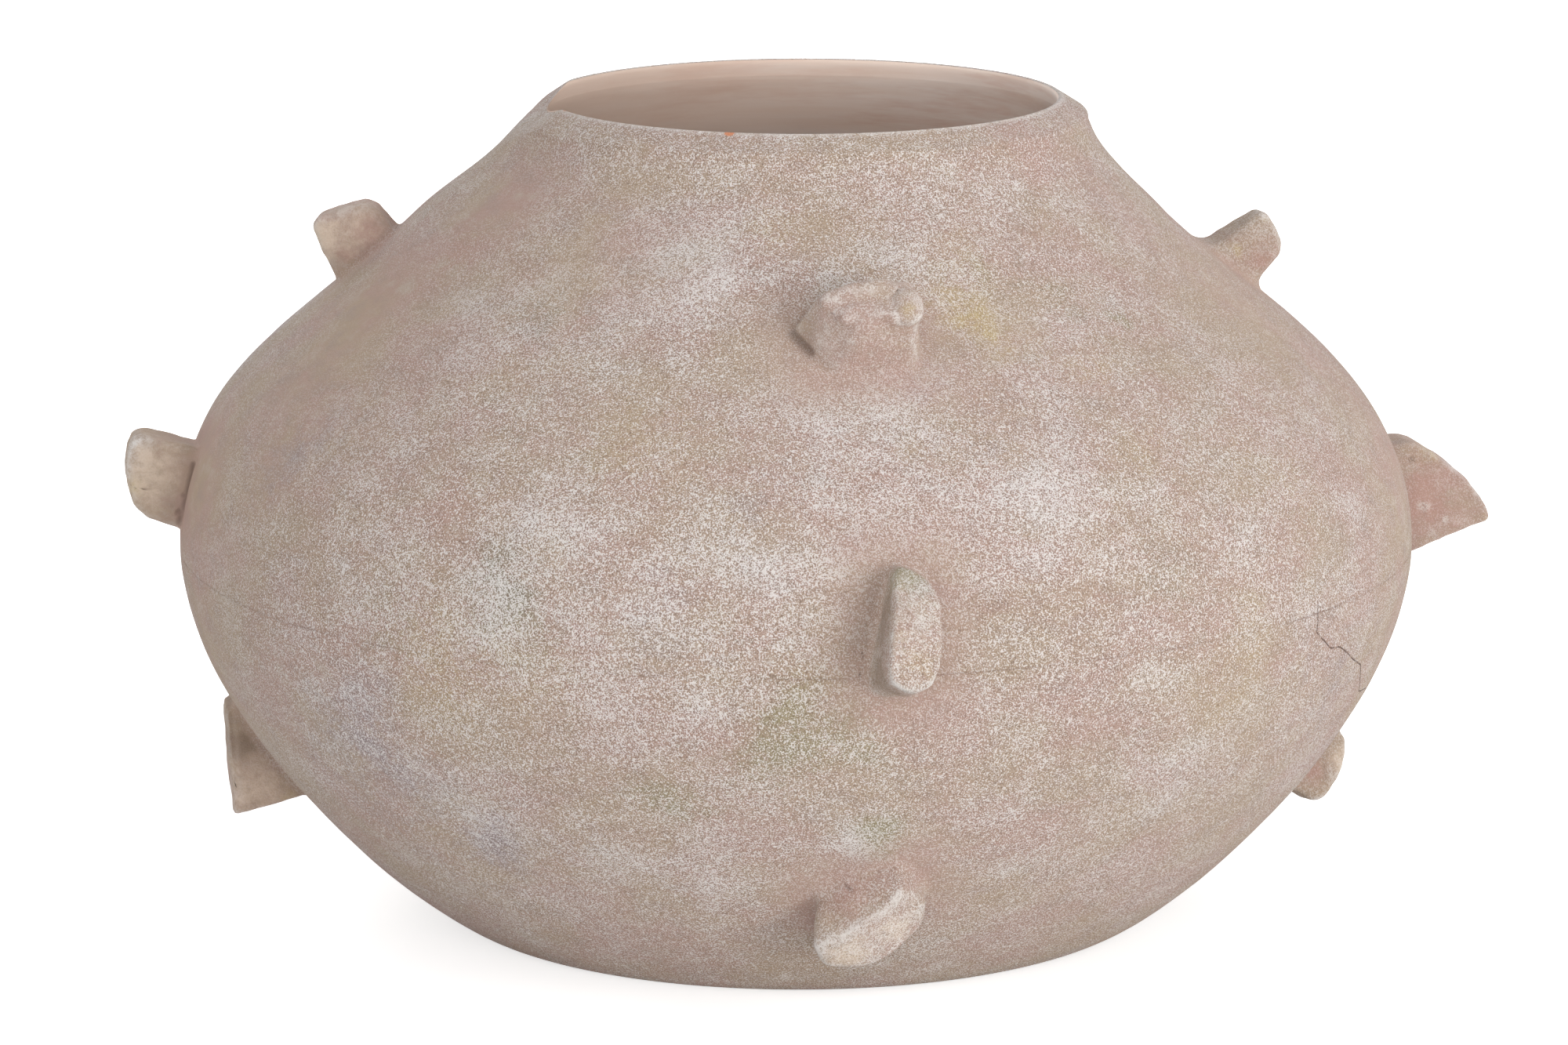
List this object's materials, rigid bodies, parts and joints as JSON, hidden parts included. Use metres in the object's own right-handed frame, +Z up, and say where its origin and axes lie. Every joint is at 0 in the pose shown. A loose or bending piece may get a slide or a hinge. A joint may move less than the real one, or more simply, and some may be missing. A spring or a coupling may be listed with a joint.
{
  "type": "vase",
  "caption": "Wide, low, round hand-built clay vase with an open mouth, a bevelled lip and short clay studs standing out of its wall.",
  "frame": {"origin": "middle of the flat foot, on the surface that the vase stands on", "axes": "+Z up along the vase's axis to the mouth; the front, with the column of studs that the picture shows, looks along -Y; +X is to the viewer's right"},
  "size_m": [0.4457, 0.4503, 0.268],
  "materials": {
    "body_clay": "matt, fired and unglazed, with a brushed lime wash in fine short strokes",
    "stud_clay": "matt, fired and unglazed, paler and more worn at the ends than the wall"
  },
  "bodies": {
    "root": {"lower_bowl": "body_clay", "upper_shell": "body_clay", "front_stud_upper": "stud_clay", "front_stud_middle": "stud_clay", "front_stud_lower": "stud_clay", "right_stud_upper": "stud_clay", "right_stud_middle": "stud_clay", "right_stud_lower": "stud_clay", "rear_stud_upper": "stud_clay", "rear_stud_middle": "stud_clay", "rear_stud_lower": "stud_clay", "left_stud_upper": "stud_clay", "left_stud_middle": "stud_clay", "left_stud_lower": "stud_clay"}
  },
  "joints": []
}
